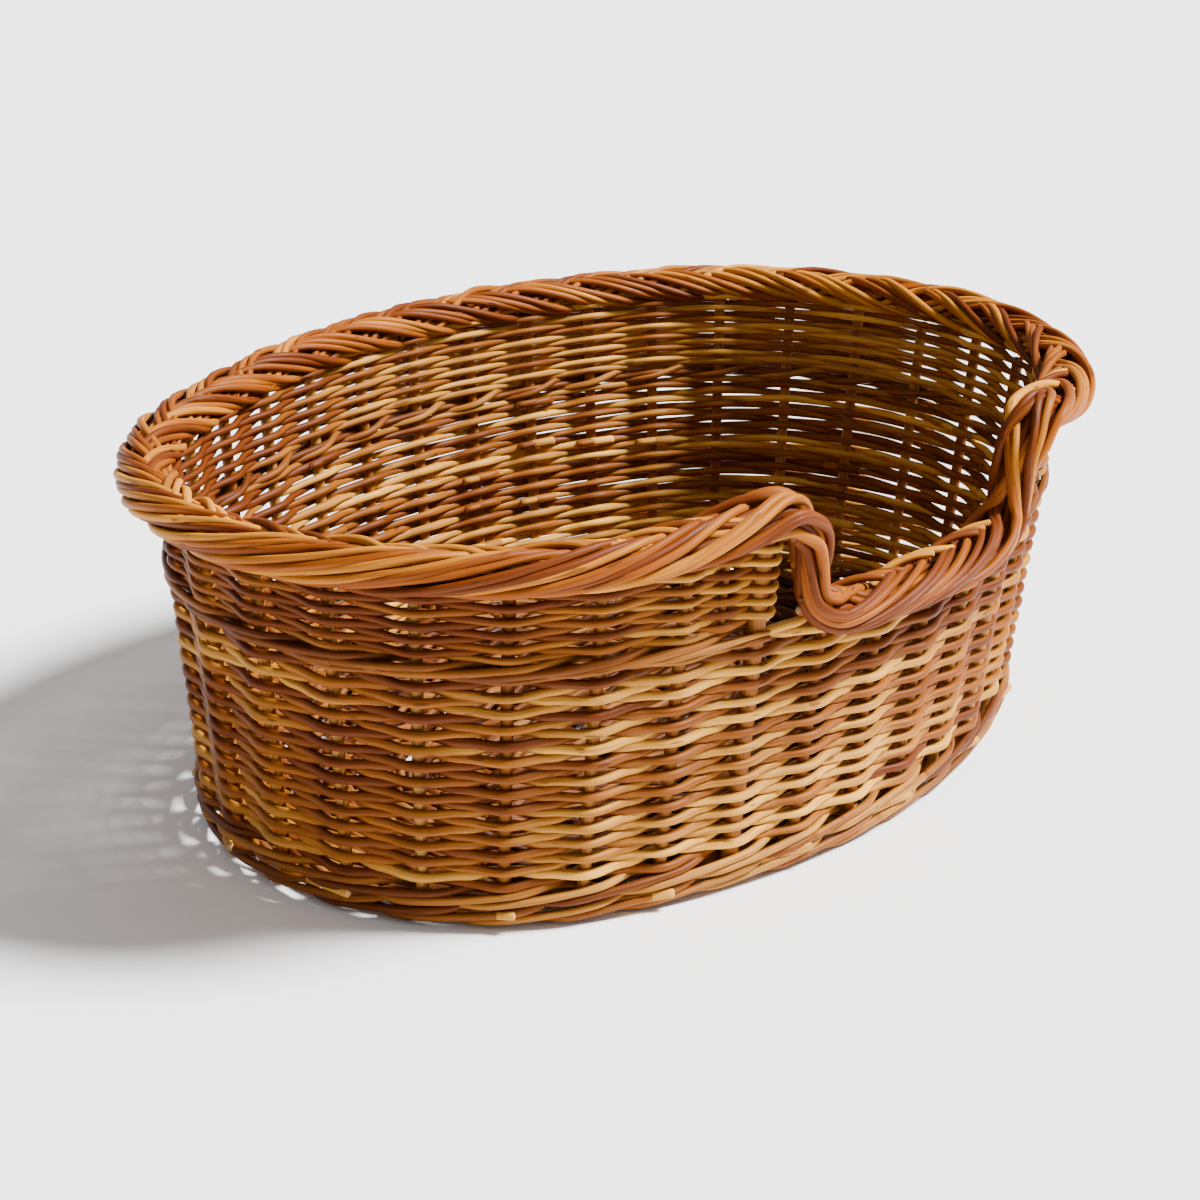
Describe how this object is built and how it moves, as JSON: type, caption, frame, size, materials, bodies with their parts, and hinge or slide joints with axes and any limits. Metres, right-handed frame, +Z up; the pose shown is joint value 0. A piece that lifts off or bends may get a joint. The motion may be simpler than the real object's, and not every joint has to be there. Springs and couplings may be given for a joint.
{
  "type": "wicker pet bed basket",
  "caption": "Oval woven willow pet bed basket with a flared wall, a thick plaited border and a low entrance in one long side.",
  "frame": {"origin": "on the ground, under the middle of the basket", "axes": "+Z up, +X along the long side, the low entrance faces -Y"},
  "size_m": [0.5946, 0.4214, 0.2188],
  "materials": {
    "siding_willow": "satin",
    "border_willow": "satin",
    "wale_willow": "satin",
    "stake_willow": "satin",
    "base_willow": "satin"
  },
  "bodies": {
    "root": {"stakes_right": "stake_willow", "stakes_back_right": "stake_willow", "stakes_back_left": "stake_willow", "stakes_left": "stake_willow", "entrance_stakes": "stake_willow", "end_stake_left": "stake_willow", "end_stake_right": "stake_willow", "by_stake_left": "stake_willow", "by_stake_right": "stake_willow", "base_long_sticks": "base_willow", "base_cross_sticks": "base_willow", "base_weave": "base_willow", "upsett_wale": "wale_willow", "mid_wale": "wale_willow", "lower_siding": "siding_willow", "upper_siding": "siding_willow", "corner_packing_left": "siding_willow", "corner_packing_right": "siding_willow", "high_border": "border_willow", "low_border": "border_willow", "border_step_left": "border_willow", "border_step_right": "border_willow"}
  },
  "joints": []
}
